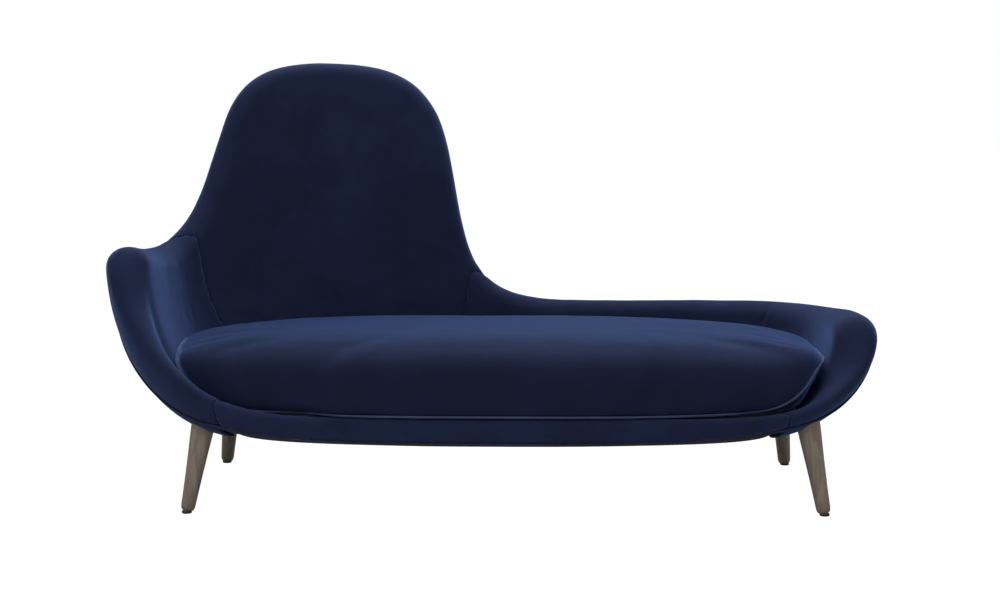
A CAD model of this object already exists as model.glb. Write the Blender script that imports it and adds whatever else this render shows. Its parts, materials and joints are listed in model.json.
import json
import math

import bmesh
import bpy
import numpy as np
from mathutils import Matrix, Vector, noise
from mathutils.bvhtree import BVHTree


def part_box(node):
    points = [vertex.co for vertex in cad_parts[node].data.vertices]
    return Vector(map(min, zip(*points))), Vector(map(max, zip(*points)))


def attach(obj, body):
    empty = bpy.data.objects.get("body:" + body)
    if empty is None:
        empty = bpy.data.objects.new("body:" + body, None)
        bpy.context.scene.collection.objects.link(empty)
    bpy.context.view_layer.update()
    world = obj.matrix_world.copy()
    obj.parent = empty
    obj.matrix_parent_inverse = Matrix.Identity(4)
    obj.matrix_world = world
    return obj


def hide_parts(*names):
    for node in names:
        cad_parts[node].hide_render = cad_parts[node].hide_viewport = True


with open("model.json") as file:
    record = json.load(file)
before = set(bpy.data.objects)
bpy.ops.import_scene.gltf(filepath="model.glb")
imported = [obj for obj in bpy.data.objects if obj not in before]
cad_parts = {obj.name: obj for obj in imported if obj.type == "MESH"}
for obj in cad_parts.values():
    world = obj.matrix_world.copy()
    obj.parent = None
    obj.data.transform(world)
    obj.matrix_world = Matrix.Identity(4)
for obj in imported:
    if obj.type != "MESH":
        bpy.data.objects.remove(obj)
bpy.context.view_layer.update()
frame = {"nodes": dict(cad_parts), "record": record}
nodes = frame["nodes"]
scene = bpy.context.scene

millimetre = 0.001

# Size of the quads that each kind of piece is worked in
panel_quad = 5.0 * millimetre
cover_quad = 4.5 * millimetre
cushion_quad = 6.0 * millimetre
simulated_quad = 12.0 * millimetre
deck_quad = 7.0 * millimetre
foam_quad = 9.0 * millimetre

# Loose triangles nearer than this belong together
join_reach = 0.02 * millimetre

# Padded panels: reach and width of a seam's draw, and how uneven the padding lies
seam_reach = 0.09
seam_wide = 5.0 * millimetre
seam_closing = 5.0 * millimetre
pucker_fade = 0.030

# Seat cushion: strip of cover held by the welt, furthest swell, and slack of its foam
held_strip = 12.0 * millimetre
cover_swell = 3.5 * millimetre
foam_slack = 8.0 * millimetre
simulated_frames = 20

# Dust cover: thickness, fold of its hem, sag in its middle, and its staples
cloth_thick = 0.9 * millimetre
hem_thick = 1.8 * millimetre
hem_share = 0.96
cloth_sag = 4.0 * millimetre
staple_share = 0.982
staple_pitch = 0.075
staple_size = (9.0 * millimetre, 1.1 * millimetre, 0.6 * millimetre)
staple_drop = 2.0 * millimetre

# Camera, placed from the middle of the four feet
picture_wide = 1000
picture_high = 600
focal_pixels = 1571.4
camera_from_feet = Vector((0.0, -3.6157, 0.8767))
camera_pitch = math.radians(6.839)
camera_yaw = math.radians(-0.23)
camera_roll = math.radians(0.193)
sensor_wide = 36.0


def linked(name, data):
    """A new object in the scene"""
    made = bpy.data.objects.new(name, data)
    scene.collection.objects.link(made)
    return made


def mesh_from(name, bm):
    """A new object with the mesh built in bm"""
    mesh = bpy.data.meshes.new(name)
    bm.to_mesh(mesh)
    bm.free()
    return linked(name, mesh)


def make_camera():
    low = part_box("glide_front_left")[0]
    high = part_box("glide_rear_right")[1]
    feet = Vector(((low.x + high.x) / 2, (low.y + high.y) / 2, 0.0))
    forward = Vector((
        math.sin(camera_yaw) * math.cos(camera_pitch),
        math.cos(camera_yaw) * math.cos(camera_pitch),
        -math.sin(camera_pitch)))
    level = Vector((math.cos(camera_yaw), -math.sin(camera_yaw), 0.0))
    over = level.cross(forward)
    right = level * math.cos(camera_roll) + over * math.sin(camera_roll)
    up = right.cross(forward)
    camera = linked("camera", bpy.data.cameras.new("camera"))
    turn = Matrix((right, up, -forward)).transposed()
    camera.matrix_world = Matrix.Translation(feet + camera_from_feet) @ turn.to_4x4()
    camera.data.sensor_width = sensor_wide
    camera.data.lens = sensor_wide * focal_pixels / picture_wide
    camera.data.clip_end = 60.0
    scene.camera = camera
    return camera


camera = make_camera()


class Value:
    """One socket of a material, with arithmetic"""

    def __init__(self, paint, socket):
        self.paint = paint
        self.socket = socket

    def __add__(self, other):
        return self.paint.math("ADD", self, other)

    def __radd__(self, other):
        return self.paint.math("ADD", other, self)

    def __sub__(self, other):
        return self.paint.math("SUBTRACT", self, other)

    def __rsub__(self, other):
        return self.paint.math("SUBTRACT", other, self)

    def __mul__(self, other):
        return self.paint.math("MULTIPLY", self, other)

    def between(self, low, high):
        """0 at low, 1 at high, held at both ends"""
        return self.paint.node("ShaderNodeMapRange", {"clamp": True}, {
            "Value": self, "From Min": low, "From Max": high})


class Paint:
    """A material round one principled shader"""

    def __init__(self, name, **constants):
        self.material = bpy.data.materials.new(name)
        self.material.use_nodes = True
        self.tree = self.material.node_tree
        self.shader = self.tree.nodes["Principled BSDF"]
        for socket, value in constants.items():
            self.shader.inputs[socket.replace("_", " ")].default_value = value

    def node(self, kind, settings, inputs, output=0):
        made = self.tree.nodes.new(kind)
        for name, value in settings.items():
            setattr(made, name, value)
        for name, value in inputs.items():
            self.set(made.inputs[name], value)
        return Value(self, made.outputs[output])

    def set(self, socket, value):
        if isinstance(value, Value):
            self.tree.links.new(value.socket, socket)
        elif hasattr(value, "__len__") and len(value) == 3 and socket.type == "RGBA":
            socket.default_value = (*value, 1.0)
        else:
            socket.default_value = value

    def math(self, operation, first, second):
        return self.node("ShaderNodeMath", {"operation": operation}, {0: first, 1: second})

    def place(self, stretch=(1.0, 1.0, 1.0)):
        """Where a point lies on the object, in metres, stretched for a grain"""
        where = self.node("ShaderNodeTexCoord", {}, {}, output="Object")
        return self.node("ShaderNodeMapping", {}, {
            "Vector": where, "Scale": stretch})

    def noise(self, where, scale, detail=2.0, roughness=0.5, distortion=0.0):
        return self.node("ShaderNodeTexNoise", {}, {
            "Vector": where, "Scale": scale, "Detail": detail, "Roughness": roughness,
            "Distortion": distortion})

    def mix(self, share, first, second):
        return self.node("ShaderNodeMix", {"data_type": "RGBA"}, {
            "Factor": share, 6: first, 7: second}, output=2)

    def colour(self, value):
        self.set(self.shader.inputs["Base Color"], value)

    def roughness(self, value):
        self.set(self.shader.inputs["Roughness"], value)

    def relief(self, height, depth):
        bump = self.node("ShaderNodeBump", {}, {
            "Height": height, "Distance": depth, "Strength": 1.0})
        self.set(self.shader.inputs["Normal"], bump)


def velvet(name, deep, lit, tint, sheen):
    """Short pile velvet: dark head on, bright at a grazing angle, brushed in soft patches"""
    paint = Paint(name, Sheen_Weight=sheen, Sheen_Roughness=0.34, Sheen_Tint=(*tint, 1.0),
                  Specular_IOR_Level=0.08)
    where = paint.place()
    brushed = paint.noise(where, 6.0, 3.0, 0.55, 0.7)
    fingered = paint.noise(where, 38.0, 2.0, 0.5, 0.3)
    pile = paint.noise(where, 1100.0, 1.0, 0.6)
    shade = brushed * 0.55 + fingered * 0.25 + pile * 0.20
    paint.colour(paint.mix(shade.between(0.36, 0.64), deep, lit))
    paint.roughness(0.78 + fingered * 0.2)
    paint.relief(pile * 0.7 + fingered * 1.2 + brushed * 1.5, 0.0007)
    return paint.material


def stained_oak():
    """Oak turned along its grain, with a grey-brown stain that sits darker in the pores"""
    paint = Paint("stained_oak", Specular_IOR_Level=0.38)
    along = paint.place((1.0, 1.0, 0.055))
    rings = paint.noise(along, 75.0, 3.0, 0.55, 0.9)
    pores = paint.noise(paint.place((1.0, 1.0, 0.02)), 620.0, 2.0, 0.7)
    patch = paint.noise(paint.place((1.0, 1.0, 0.3)), 14.0, 2.0, 0.5)
    pale = (0.270, 0.220, 0.172)
    mid = (0.165, 0.130, 0.100)
    dark = (0.060, 0.045, 0.035)
    ground = paint.mix(rings.between(0.33, 0.68), mid, pale)
    ground = paint.mix(patch.between(0.35, 0.75) * 0.45, ground, mid)
    pore = pores.between(0.60, 0.74)
    paint.colour(paint.mix(pore * 0.75, ground, dark))
    paint.roughness(0.46 + pore * 0.25 + rings * 0.10)
    paint.relief(rings * 0.4 - pore, 0.00025)
    return paint.material


def moulded_plastic(name, colour, rough):
    paint = Paint(name, Specular_IOR_Level=0.4)
    grain = paint.noise(paint.place(), 900.0, 2.0, 0.5)
    scuff = paint.noise(paint.place(), 120.0, 3.0, 0.6)
    lighter = tuple(min(1.0, c * 1.5 + 0.01) for c in colour)
    paint.colour(paint.mix(scuff.between(0.5, 0.8) * 0.6, colour, lighter))
    paint.roughness(rough + scuff * 0.2)
    paint.relief(grain, 0.0001)
    return paint.material


def woven(name, first, second, pitch, sheen=0.3):
    """Plain weave: two crossing sets of threads"""
    paint = Paint(name, Sheen_Weight=sheen, Sheen_Roughness=0.5, Specular_IOR_Level=0.2)
    turns = 2.0 * math.pi / pitch
    where = paint.place()
    split = paint.tree.nodes.new("ShaderNodeSeparateXYZ")
    paint.set(split.inputs[0], where)
    across = paint.node("ShaderNodeMath", {"operation": "SINE"}, {
        0: Value(paint, split.outputs[0]) * turns})
    along = paint.node("ShaderNodeMath", {"operation": "SINE"}, {
        0: Value(paint, split.outputs[1]) * turns})
    weave = (across * along) * 0.5 + 0.5
    slub = paint.noise(where, 90.0, 3.0, 0.6)
    paint.colour(paint.mix(weave * 0.6 + slub * 0.4, first, second))
    paint.roughness(0.8 + slub * 0.15)
    paint.relief(weave + slub * 0.5, 0.0003)
    return paint.material


def bare_wood(name, pale, dark, lay):
    paint = Paint(name, Specular_IOR_Level=0.3)
    grain = paint.noise(paint.place(lay), 60.0, 4.0, 0.6, 1.2)
    pores = paint.noise(paint.place(lay), 480.0, 2.0, 0.6)
    paint.colour(paint.mix(grain.between(0.3, 0.7), pale, dark))
    paint.roughness(0.6 + pores * 0.2)
    paint.relief(grain + pores * 0.6, 0.0003)
    return paint.material


def metal(name, colour, rough):
    paint = Paint(name, Metallic=1.0)
    wear = paint.noise(paint.place(), 260.0, 3.0, 0.6)
    duller = tuple(c * 0.7 for c in colour)
    paint.colour(paint.mix(wear.between(0.35, 0.7), colour, duller))
    paint.roughness(rough + wear * 0.25)
    return paint.material


def foam(name, colour):
    paint = Paint(name, Specular_IOR_Level=0.15)
    cells = paint.node("ShaderNodeTexVoronoi", {}, {"Vector": paint.place(), "Scale": 420.0})
    cloudy = paint.noise(paint.place(), 12.0, 2.0, 0.5)
    darker = tuple(c * 0.8 for c in colour)
    paint.colour(paint.mix(cloudy * 0.6 + cells * 0.4, colour, darker))
    paint.roughness(0.9 - cells * 0.1)
    paint.relief(cells, 0.0008)
    return paint.material


navy_sheen = (0.21, 0.40, 1.0)
wall_velvet = velvet("wall_velvet", (0.0105, 0.0152, 0.0420), (0.0165, 0.0240, 0.0650),
                     navy_sheen, 0.50)
seat_velvet = velvet("seat_velvet", (0.0070, 0.0096, 0.0280), (0.0110, 0.0150, 0.0440),
                     navy_sheen, 1.05)
trim_velvet = velvet("trim_velvet", (0.016, 0.018, 0.042), (0.034, 0.034, 0.076),
                     (0.50, 0.52, 1.0), 0.9)
welt_velvet = velvet("welt_velvet", (0.050, 0.058, 0.120), (0.080, 0.090, 0.180),
                     (0.42, 0.52, 1.0), 1.0)
oak = stained_oak()
finishes = {
    "leg_wood": oak,
    "glide": moulded_plastic("glide_plastic", (0.012, 0.012, 0.012), 0.45),
    "shell_board": moulded_plastic("shell_moulding", (0.010, 0.010, 0.012), 0.6),
    "plywood": bare_wood("painted_ply", (0.030, 0.030, 0.034), (0.018, 0.018, 0.020),
                         (0.1, 1.0, 1.0)),
    "rail_wood": bare_wood("beech", (0.58, 0.40, 0.25), (0.48, 0.31, 0.18), (1.0, 0.1, 1.0)),
    "steel": metal("zinc_steel", (0.62, 0.62, 0.64), 0.28),
    "zip_metal": metal("zip_slider_metal", (0.10, 0.11, 0.14), 0.35),
    "foam": foam("cut_foam", (0.72, 0.66, 0.46)),
    "webbing": woven("elastic_webbing", (0.36, 0.31, 0.24), (0.20, 0.17, 0.13), 0.004),
    "zip_cloth": woven("zip_tape_cloth", (0.012, 0.018, 0.045), (0.022, 0.032, 0.07), 0.0012),
    "dust_cloth": woven("dust_cloth", (0.020, 0.020, 0.022), (0.035, 0.035, 0.038), 0.002),
    "velvet": wall_velvet,
    "piping": trim_velvet,
}
deck_lining = woven("deck_lining", (0.020, 0.026, 0.045), (0.035, 0.042, 0.066), 0.003)


def finish_nodes():
    """Every carried-over node takes the finish of its material slot"""
    for row in frame["record"]["subparts"]:
        mesh = nodes[row["node"]].data
        mesh.materials.clear()
        mesh.materials.append(finishes[row["material_slot"]])


finish_nodes()


# Meshes worked from the nodes that they replace
def merged_copy(name, *sources):
    """One mesh from copies of CAD nodes, with their loose triangles joined up"""
    bm = bmesh.new()
    for source in sources:
        bm.from_mesh(nodes[source].data)
    bmesh.ops.remove_doubles(bm, verts=bm.verts, dist=join_reach)
    return mesh_from(name, bm)


def settled(piece):
    """The piece with its modifiers worked into its mesh"""
    bpy.context.view_layer.update()
    shown = piece.evaluated_get(bpy.context.evaluated_depsgraph_get())
    mesh = bpy.data.meshes.new_from_object(shown)
    piece.modifiers.clear()
    piece.data = mesh
    return piece


def even_grid(piece, voxel, rounds):
    """Even quads over the whole form, with its cut edges softened"""
    grid = piece.modifiers.new("grid", "REMESH")
    grid.mode = "VOXEL"
    grid.voxel_size = voxel
    soften = piece.modifiers.new("soften", "SMOOTH")
    soften.factor = 0.5
    soften.iterations = rounds
    return settled(piece)


def points_of(piece):
    count = len(piece.data.vertices)
    places = np.empty(count * 3, np.float32)
    piece.data.vertices.foreach_get("co", places)
    normals = np.empty(count * 3, np.float32)
    piece.data.vertex_normals.foreach_get("vector", normals)
    return places.reshape(-1, 3).astype(float), normals.reshape(-1, 3).astype(float)


def move_points(piece, places):
    piece.data.vertices.foreach_set("co", places.astype(np.float32).ravel())
    piece.data.update()


def smooth_shaded(piece):
    piece.data.shade_smooth()
    return piece


def tree_of(*names):
    bm = bmesh.new()
    for name in names:
        bm.from_mesh(nodes[name].data)
    tree = BVHTree.FromBMesh(bm)
    bm.free()
    return tree


def nearest(places, tree, reach):
    """How far each point lies from a tree's surface, at most reach, and which way"""
    found = np.full(len(places), reach)
    toward = np.zeros((len(places), 3))
    for i, place in enumerate(places):
        hit = tree.find_nearest(Vector(place), reach)
        if hit[0] is not None and hit[3] > 0.0:
            found[i] = hit[3]
            toward[i] = (hit[0] - Vector(place)) / hit[3]
    return found, toward


def ripple(places, size, seed):
    """Smooth unevenness from -1 to 1"""
    shift = Vector((seed * 7.3, seed * 3.1, seed * 5.7))
    return np.array([noise.noise(Vector(p) / size + shift) for p in places])


def picture_ray(px, py):
    """Ray from the camera through a pixel of the photograph"""
    aim = Vector(((px - picture_wide / 2) / focal_pixels,
                  -(py - picture_high / 2) / focal_pixels, -1.0))
    return camera.matrix_world.translation, (camera.matrix_world.to_3x3() @ aim).normalized()


def on_surface(tree, px, py):
    start, aim = picture_ray(px, py)
    hit = tree.ray_cast(start, aim)
    return hit[0]


def crease(places, normals, line, depth, wide):
    """Sink points along a line of places, deepest in its middle"""
    moved = places.copy()
    ends = [np.array(p) for p in line]
    lengths = [np.linalg.norm(b - a) for a, b in zip(ends, ends[1:])]
    total = sum(lengths)
    run = 0.0
    best = np.full(len(places), 1.0)
    along = np.zeros(len(places))
    for a, b, length in zip(ends, ends[1:], lengths):
        t = np.clip(((places - a) @ (b - a)) / length ** 2, 0.0, 1.0)
        gap = np.linalg.norm(places - (a + t[:, None] * (b - a)), axis=1)
        nearer = gap < best
        best = np.where(nearer, gap, best)
        along = np.where(nearer, (run + t * length) / total, along)
        run += length
    fade = np.sin(np.pi * np.clip(along, 0.02, 0.98)) ** 0.6
    dip = depth * fade * np.exp(-(best / wide) ** 2)
    lip = 0.35 * depth * fade * np.exp(-((best - 2.2 * wide) / wide) ** 2)
    moved -= normals * (dip - lip)[:, None]
    return moved


# Padded wall panels: the node each stands for, its seed and how deep its seams draw, in mm
panels = {
    "left_arm_panel": ("left_arm_pad", 1.0, 1.7),
    "tall_back_panel": ("tall_back_pad", 2.0, 2.0),
    "low_back_panel": ("low_back_pad", 3.0, 2.0),
    "front_rail_panel": ("front_rail_pad", 4.0, 0.9),
}
pad_nodes = [node for node, seed, sink in panels.values()]
wall_surface = tree_of(*pad_nodes)

# Creases pressed into the velvet: a line of places in the picture, depth and width in mm
panel_creases = {
    "left_arm_panel": [
        ([(189, 302), (192, 312), (195, 322)], 0.9, 7.0),
    ],
    "low_back_panel": [
        ([(768, 310), (764, 318), (760, 326)], 2.6, 6.0),
    ],
    "tall_back_panel": [],
    "front_rail_panel": [],
}


def seam_shape(places, normals, tree, sink, wide):
    """Draw the panel in where it is sewn to its neighbours, with a soft lip beside the seam"""
    gap, toward = nearest(places, tree, seam_reach)
    facing = np.clip((normals * toward).sum(axis=1) * 1.4, 0.0, 1.0)
    dip = sink * np.exp(-(gap / wide) ** 2) * (1.0 - facing)
    lip = 0.30 * sink * np.exp(-((gap - 3.0 * wide) / (1.5 * wide)) ** 2)
    closing = np.clip(gap - 0.15 * millimetre, 0.0, seam_closing) * 0.5 * facing
    closing *= gap < 2.0 * seam_closing
    moved = places - normals * (dip - lip)[:, None] + toward * closing[:, None]
    pull = np.exp(-gap / pucker_fade) * (gap < seam_reach) * (1.0 - facing)
    return moved, pull


def padded_panel(name):
    node, seed, sink = panels[name]
    piece = merged_copy(name, node)
    even_grid(piece, panel_quad, 8)
    neighbours = tree_of(*[other for other in pad_nodes if other != node])
    places, normals = points_of(piece)
    places, pull = seam_shape(places, normals, neighbours, sink * millimetre, seam_wide)
    slack = ripple(places, 0.16, seed) * 1.0 + ripple(places, 0.05, seed + 4.0) * 0.35
    pucker = ripple(places, 0.022, seed + 9.0) * pull
    places += normals * ((slack + 1.1 * pucker) * millimetre)[:, None]
    for pixels, depth, wide in panel_creases[name]:
        line = [on_surface(wall_surface, px, py) for px, py in pixels]
        if all(point is not None for point in line):
            places = crease(places, normals, line, depth * millimetre, wide * millimetre)
    move_points(piece, places)
    piece.data.materials.append(wall_velvet)
    smooth_shaded(piece)
    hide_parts(node)
    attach(piece, "frame")


for panel in panels:
    padded_panel(panel)


# Outer covers under the piping
def outer_cover(name, node, seed):
    piece = merged_copy(name, node)
    even_grid(piece, cover_quad, 3)
    places, normals = points_of(piece)
    places += normals * (ripple(places, 0.18, seed) * 0.5 * millimetre)[:, None]
    move_points(piece, places)
    piece.data.materials.append(wall_velvet)
    smooth_shaded(piece)
    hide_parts(node)
    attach(piece, "frame")


outer_cover("outer_cover_left_panel", "outer_cover_left", 21.0)
outer_cover("outer_cover_back_panel", "outer_cover_back", 22.0)
outer_cover("outer_cover_right_panel", "outer_cover_right", 23.0)


# Corded trims: the piping round the shell and the welt round the cushion
def cord_trim(name, node, body, velvet_used):
    piece = merged_copy(name, node)
    finer = piece.modifiers.new("finer", "SUBSURF")
    finer.levels = 1
    finer.render_levels = 1
    settled(piece)
    piece.data.materials.append(velvet_used)
    smooth_shaded(piece)
    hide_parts(node)
    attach(piece, body)


cord_trim("rim_piping_cord", "rim_piping", "frame", trim_velvet)
cord_trim("cushion_welt_cord", "cushion_welt", "seat_cushion", welt_velvet)


def stuffed(piece, tree, hold, cap):
    """Cloth simulation of a cover blown out by its filling and held along its seam"""
    before, normals = points_of(piece)
    gap = nearest(before, tree, 1.0)[0]
    seam = piece.vertex_groups.new(name="seam")
    for i in np.flatnonzero(gap < hold):
        seam.add([int(i)], 1.0, "REPLACE")
    cloth = piece.modifiers.new("cloth", "CLOTH")
    cloth.settings.quality = 5
    cloth.settings.mass = 0.3
    cloth.settings.tension_stiffness = 12.0
    cloth.settings.compression_stiffness = 12.0
    cloth.settings.shear_stiffness = 6.0
    cloth.settings.bending_stiffness = 0.6
    cloth.settings.use_pressure = True
    cloth.settings.uniform_pressure_force = 4.0
    cloth.settings.effector_weights.gravity = 0.0
    cloth.settings.vertex_group_mass = "seam"
    cloth.point_cache.frame_start = 1
    cloth.point_cache.frame_end = simulated_frames
    for number in range(1, simulated_frames + 1):
        scene.frame_set(number)
    settled(piece)
    after, normals = points_of(piece)
    moved = after - before
    far = np.linalg.norm(moved, axis=1)
    most = cap * (0.25 + 0.75 * np.clip(gap / 0.10, 0.0, 1.0))
    moved *= (most * np.tanh(far / most) / np.maximum(far, 1e-9))[:, None]
    move_points(piece, before + moved)
    scene.frame_set(1)


# Seat cushion: one stuffed form, drawn in at its welt, with the zip's groove in its underside
def seat_cushion():
    piece = merged_copy("seat_cushion_cover", "cushion_cover_top", "cushion_cover_bottom",
                        "cushion_core", "cushion_welt")
    welt = tree_of("cushion_welt")
    even_grid(piece, simulated_quad, 2)
    stuffed(piece, welt, held_strip, cover_swell)
    even_grid(piece, cushion_quad, 4)
    places, normals = points_of(piece)
    gap = nearest(places, welt, 0.12)[0]
    dip = 1.8 * np.exp(-(gap / 0.006) ** 2) - 0.8 * np.exp(-((gap - 0.020) / 0.010) ** 2)
    pull = np.exp(-gap / 0.035) * (gap < 0.12)
    slack = ripple(places, 0.28, 31.0) * 1.8 + ripple(places, 0.09, 35.0) * 0.6
    pucker = ripple(places, 0.030, 39.0) * pull * 1.2
    upward = np.clip(normals[:, 2] + 0.4, 0.0, 1.0)
    places += normals * ((slack * upward + pucker - dip) * millimetre)[:, None]
    low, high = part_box("zip_tape")
    floor_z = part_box("cushion_cover_bottom")[0].z
    in_groove = ((np.abs(places[:, 1] - (low.y + high.y) / 2) < 0.0085)
                 & (places[:, 0] > low.x + 0.003) & (places[:, 0] < high.x - 0.003)
                 & (places[:, 2] < floor_z + 0.003))
    places[in_groove, 2] = low.z
    move_points(piece, places)
    piece.data.materials.append(seat_velvet)
    smooth_shaded(piece)
    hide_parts("cushion_cover_top", "cushion_cover_bottom")
    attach(piece, "seat_cushion")


seat_cushion()


def cushion_foam():
    """The foam inside the cover, a little smaller than it was cut"""
    piece = merged_copy("cushion_foam", "cushion_core")
    even_grid(piece, foam_quad, 6)
    places, normals = points_of(piece)
    move_points(piece, places - normals * foam_slack)
    piece.data.materials.append(finishes["foam"])
    smooth_shaded(piece)
    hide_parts("cushion_core")
    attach(piece, "seat_cushion")


cushion_foam()


# Deck: foam under a lining cloth, seen when the cushion is off
def seat_deck():
    piece = merged_copy("seat_deck", "deck_block")
    even_grid(piece, deck_quad, 4)
    piece.data.materials.append(deck_lining)
    smooth_shaded(piece)
    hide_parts("deck_block")
    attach(piece, "frame")


seat_deck()


# Dust cover: black cloth stapled under the base panel, with a folded hem
def outline_of(node):
    """Points round the lower face of a flat node, in turning order, and their middle"""
    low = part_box(node)[0].z
    points = {(round(v.co.x, 5), round(v.co.y, 5)) for v in nodes[node].data.vertices
              if v.co.z < low + 0.1 * millimetre}
    outline = np.array(sorted(points))
    middle = (outline.min(axis=0) + outline.max(axis=0)) / 2
    turn = np.arctan2(outline[:, 1] - middle[1], outline[:, 0] - middle[0])
    return outline[np.argsort(turn)], middle


def dust_cloth(outline, middle):
    shares = np.concatenate([np.linspace(0.08, 0.94, 12), [0.955, 0.965, 0.98, 1.0]])
    top_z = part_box("dust_cover")[1].z
    count = len(outline)
    places = []
    for under in (False, True):
        for share in shares:
            ring = middle + (outline - middle) * share
            thick = cloth_thick if share < hem_share else hem_thick
            sag = cloth_sag * (1.0 - share ** 2) ** 2
            waves = ripple([(x, y, 0.0) for x, y in ring], 0.12, 51.0) * 0.8 * millimetre
            level = top_z - sag - np.abs(waves) * (1.0 - share) - thick * under
            places += [(x, y, z) for (x, y), z in zip(ring, np.broadcast_to(level, count))]
    bm = bmesh.new()
    made = [bm.verts.new(place) for place in places]
    rows = [made[i:i + count] for i in range(0, len(made), count)]
    half = len(shares)
    for k in list(range(half - 1)) + list(range(half, 2 * half - 1)):
        for i in range(count):
            j = (i + 1) % count
            bm.faces.new((rows[k][i], rows[k][j], rows[k + 1][j], rows[k + 1][i]))
    for i in range(count):
        j = (i + 1) % count
        bm.faces.new((rows[half - 1][i], rows[half - 1][j], rows[-1][j], rows[-1][i]))
    bm.faces.new(rows[0])
    bm.faces.new(rows[half])
    bmesh.ops.recalc_face_normals(bm, faces=bm.faces)
    piece = mesh_from("dust_cloth", bm)
    piece.data.materials.append(finishes["dust_cloth"])
    smooth_shaded(piece)
    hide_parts("dust_cover")
    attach(piece, "frame")


def staples(outline, middle):
    """Wire staples through the hem, at an even pitch"""
    hem = middle + (outline - middle) * staple_share
    steps = np.linalg.norm(np.roll(hem, -1, axis=0) - hem, axis=1)
    run = np.concatenate([[0.0], np.cumsum(steps)])
    closed = np.vstack([hem, hem[:1]])
    under_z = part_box("dust_cover")[1].z - staple_drop
    bm = bmesh.new()
    for far in np.arange(0.0, run[-1] - staple_pitch / 2, staple_pitch):
        here = np.array([np.interp(far, run, closed[:, k]) for k in (0, 1)])
        ahead = np.array([np.interp(far + 0.004, run, closed[:, k]) for k in (0, 1)]) - here
        turn = Matrix.Rotation(math.atan2(ahead[1], ahead[0]), 4, "Z")
        size = Matrix.Diagonal((*staple_size, 1.0))
        place = Matrix.Translation((here[0], here[1], under_z))
        bmesh.ops.create_cube(bm, size=1.0, matrix=place @ turn @ size)
    piece = mesh_from("dust_cover_staples", bm)
    piece.data.materials.append(finishes["steel"])
    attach(piece, "frame")


under_outline, under_middle = outline_of("dust_cover")
dust_cloth(under_outline, under_middle)
staples(under_outline, under_middle)


# Stage: pale floor, white surroundings and soft lamps
def stage_floor():
    bm = bmesh.new()
    bmesh.ops.create_grid(bm, x_segments=1, y_segments=1, size=30.0)
    floor = mesh_from("floor", bm)
    paint = Paint("floor_paint", Specular_IOR_Level=0.0, Roughness=1.0)
    paint.colour((0.85, 0.85, 0.85))
    glow = paint.node("ShaderNodeEmission", {}, {"Color": (1.0, 1.0, 1.0), "Strength": 1.10})
    seen = paint.node("ShaderNodeLightPath", {}, {}, output="Is Camera Ray")
    blend = paint.tree.nodes.new("ShaderNodeMixShader")
    paint.set(blend.inputs[0], seen * 0.92)
    paint.tree.links.new(paint.shader.outputs[0], blend.inputs[1])
    paint.tree.links.new(glow.socket, blend.inputs[2])
    paint.tree.links.new(blend.outputs[0],
                         paint.tree.nodes["Material Output"].inputs["Surface"])
    floor.data.materials.append(paint.material)


def stage_world(level):
    world = bpy.data.worlds.new("surroundings")
    scene.world = world
    world.use_nodes = True
    tree = world.node_tree
    background = tree.nodes["Background"]
    background.inputs["Color"].default_value = (1.0, 1.0, 1.0, 1.0)
    path = tree.nodes.new("ShaderNodeLightPath")
    either = tree.nodes.new("ShaderNodeMath")
    either.operation = "MAXIMUM"
    tree.links.new(path.outputs["Is Camera Ray"], either.inputs[0])
    tree.links.new(path.outputs["Is Glossy Ray"], either.inputs[1])
    strength = tree.nodes.new("ShaderNodeMapRange")
    strength.inputs["To Min"].default_value = level
    strength.inputs["To Max"].default_value = 1.0
    tree.links.new(either.outputs[0], strength.inputs["Value"])
    tree.links.new(strength.outputs[0], background.inputs["Strength"])


def lamp(name, place, aim, size, power):
    light = bpy.data.lights.new(name, "AREA")
    light.shape = "SQUARE"
    light.size = size
    light.energy = power
    made = linked(name, light)
    made.location = place
    made.rotation_euler = (Vector(aim) - Vector(place)).to_track_quat("-Z", "Y").to_euler()


scene.view_settings.view_transform = "Standard"
stage_floor()
stage_world(0.20)
lamp("overhead", (0.1, 1.2, 3.1), (0.0, 0.0, 0.3), 2.6, 95.0)
lamp("front_fill", (-0.8, -2.6, 3.4), (0.0, 0.0, 0.4), 2.2, 58.0)
